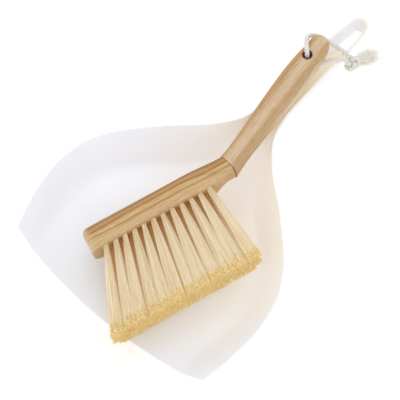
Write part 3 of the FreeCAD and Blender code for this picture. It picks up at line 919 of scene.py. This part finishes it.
def tube_mesh(name, lines, radius, sides=10):
    """Closed tubes along several lines, with a UV map of length along and share round."""
    points = []
    faces = []
    uvs = []
    for line in lines:
        frames = carried_frames(line)
        base = len(points)
        travelled = 0.0
        distances = []
        for i, (centre, (side, other)) in enumerate(zip(line, frames)):
            if i:
                travelled += (centre - line[i - 1]).length
            distances.append(travelled)
            for step in range(sides):
                angle = 2 * math.pi * step / sides
                points.append(centre + (side * math.cos(angle) + other * math.sin(angle)) * radius)
        for i in range(len(line) - 1):
            for step in range(sides):
                after = (step + 1) % sides
                low = base + i * sides
                high = low + sides
                faces.append((low + step, low + after, high + after, high + step))
                uvs.append(((distances[i], step / sides), (distances[i], (step + 1) / sides),
                            (distances[i + 1], (step + 1) / sides), (distances[i + 1], step / sides)))
        for i, order in ((0, -1), (len(line) - 1, 1)):
            ring = [base + i * sides + step for step in range(sides)][::order]
            faces.append(tuple(ring))
            uvs.append(tuple((distances[i], 0.0) for _ in ring))
    mesh = mesh_from(name, points, faces)
    layer = mesh.uv_layers.new(name="strand")
    for polygon, corners in zip(mesh.polygons, uvs):
        polygon.use_smooth = True
        for loop, corner in zip(polygon.loop_indices, corners):
            layer.data[loop].uv = corner
    return mesh


def strand_lines(path):
    """Helical strands of a laid rope round its centreline."""
    offset = STRAND_OFFSET_SHARE * CORD_DIAMETER
    lay = LAY_IN_DIAMETERS * CORD_DIAMETER
    frames = carried_frames(path)
    lines = [[] for _ in range(STRANDS)]
    travelled = 0.0
    for i, (centre, (side, other)) in enumerate(zip(path, frames)):
        if i:
            travelled += (centre - path[i - 1]).length
        for number in range(STRANDS):
            angle = 2 * math.pi * (number / STRANDS + travelled / lay)
            lines[number].append(centre + (side * math.cos(angle) + other * math.sin(angle)) * offset)
    return lines


def rope_piece(name, path, material):
    mesh = tube_mesh(name, strand_lines(path), STRAND_RADIUS_SHARE * CORD_DIAMETER)
    mesh.materials.append(material)
    return new_object(name, mesh)


def knot_path():
    """Tight overhand knot: a line that winds three times through a small ring."""
    ring, swing, lift = 4.0 * MM, 2.1 * MM, 3.3 * MM
    axis = Vector((0.25, -0.35, 0.9)).normalized()
    side = axis.orthogonal().normalized()
    other = axis.cross(side)
    points = []
    steps = 150
    for step in range(steps + 1):
        angle = 2 * math.pi * step / steps
        reach = ring + swing * math.cos(3 * angle)
        points.append(KNOT_CENTRE + side * reach * math.cos(2 * angle) + other * reach * math.sin(2 * angle)
                      + axis * lift * math.sin(3 * angle))
    return points


def hanging_cord(tree, cotton, frayed):
    path = even_points(spline_points(CORD_ROUTE), CORD_POINT_SPACING)
    rope = rope_piece("hanging_cord", path, cotton)
    finish_piece(rope, "brush", "cotton", "hang_cord")
    knot = rope_piece("cord_overhand_knot", knot_path(), cotton)
    finish_piece(knot, "brush", "cotton", "cord_knot")
    along = TASSEL_TIP - KNOT_CENTRE
    direction = along.normalized()
    side = direction.orthogonal().normalized()
    tassel = grow_fibres("frayed_tassel", tree,
                         [(KNOT_CENTRE + direction * TASSEL_ROOT_DISTANCE, KNOT_CENTRE + along)],
                         Material=frayed, Fibres_per_bundle=TASSEL_FIBRES,
                         Fibre_radius=TASSEL_FIBRE_RADIUS, Root_radius=TASSEL_ROOT_RADIUS,
                         End_half_length=TASSEL_END_RADIUS, End_half_width=TASSEL_END_RADIUS,
                         Length_axis=side, Width_axis=direction.cross(side), Sway=TASSEL_SWAY,
                         Uneven_ends=TASSEL_UNEVENNESS, Segments=TASSEL_SEGMENTS, Seed=TASSEL_SEED)
    finish_piece(tassel, "brush", "cotton", "cord_tassel")


# ================================================================ stage and light
def add_stage():
    floor = new_object("floor", mesh_from("floor", [(-4, -4, 0), (4, -4, 0), (4, 4, 0), (-4, 4, 0)],
                                          [(0, 1, 2, 3)]))
    floor.location.z = -0.0005
    material, graph, shader = new_material("pale floor", Roughness=0.9, Specular_IOR_Level=0.0)
    shader.inputs["Base Color"].default_value = (0.9, 0.9, 0.9, 1)
    shader.inputs["Emission Color"].default_value = (1, 1, 1, 1)
    shader.inputs["Emission Strength"].default_value = 0.25
    floor.data.materials.append(material)


def add_area_light(name, place, aim, size, watts, colour):
    data = bpy.data.lights.new(name, "AREA")
    data.shape = "DISK"
    data.size = size
    data.energy = watts
    data.color = colour
    light = bpy.data.objects.new(name, data)
    light.location = place
    light.rotation_euler = (Vector(place) - Vector(aim)).to_track_quat("Z", "Y").to_euler()
    bpy.context.scene.collection.objects.link(light)


def add_lights():
    world = bpy.data.worlds.new("studio")
    world.use_nodes = True
    background = world.node_tree.nodes["Background"]
    background.inputs["Color"].default_value = (0.985, 0.99, 1.0, 1)
    background.inputs["Strength"].default_value = 0.93
    bpy.context.scene.world = world
    aim = (0.0, 0.15, 0.02)
    add_area_light("overhead softbox", (-0.5, 0.5, 1.7), aim, 1.2, 1.2, (1.0, 0.98, 0.95))
    add_area_light("front fill", (0.9, -0.9, 1.0), aim, 1.0, 0.4, (0.97, 0.98, 1.0))
    bpy.context.scene.view_settings.view_transform = "Standard"


# ================================================================ the whole object
def build():
    add_camera()
    tree = fibre_tree()
    hanging_cord(tree, cotton_material(), frayed_cotton_material())
    mottling = fine_mottling_group()
    dust = dust_group()
    groups = {"grain": wood_grain_group(), "recess": seam_and_hole_shade_group()}
    dust_pan(plastic_material(mottling, dust))
    block_wood = block_wood_material(groups)
    handle_wood = handle_wood_material(groups)
    wooden_piece("block", "brush_block", block_wood)
    wooden_piece("handle", "brush_handle", handle_wood)
    for node, material in (("handle_dowel", block_wood), ("tuft_anchors", steel_material(mottling))):
        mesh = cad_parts[node].data
        mesh.materials.clear()
        mesh.materials.append(material)
    # The inner rows are a shaded copy of the upper row's bristles: deeper painted root shade and less
    # painted glow.
    bristle_rows(tree, bristle_material("upper bristles", 0.35, 0.3, 0.7),
                 bristle_material("inner bristles", 1.0, 0.85, 0.65))
    add_stage()
    add_lights()


build()
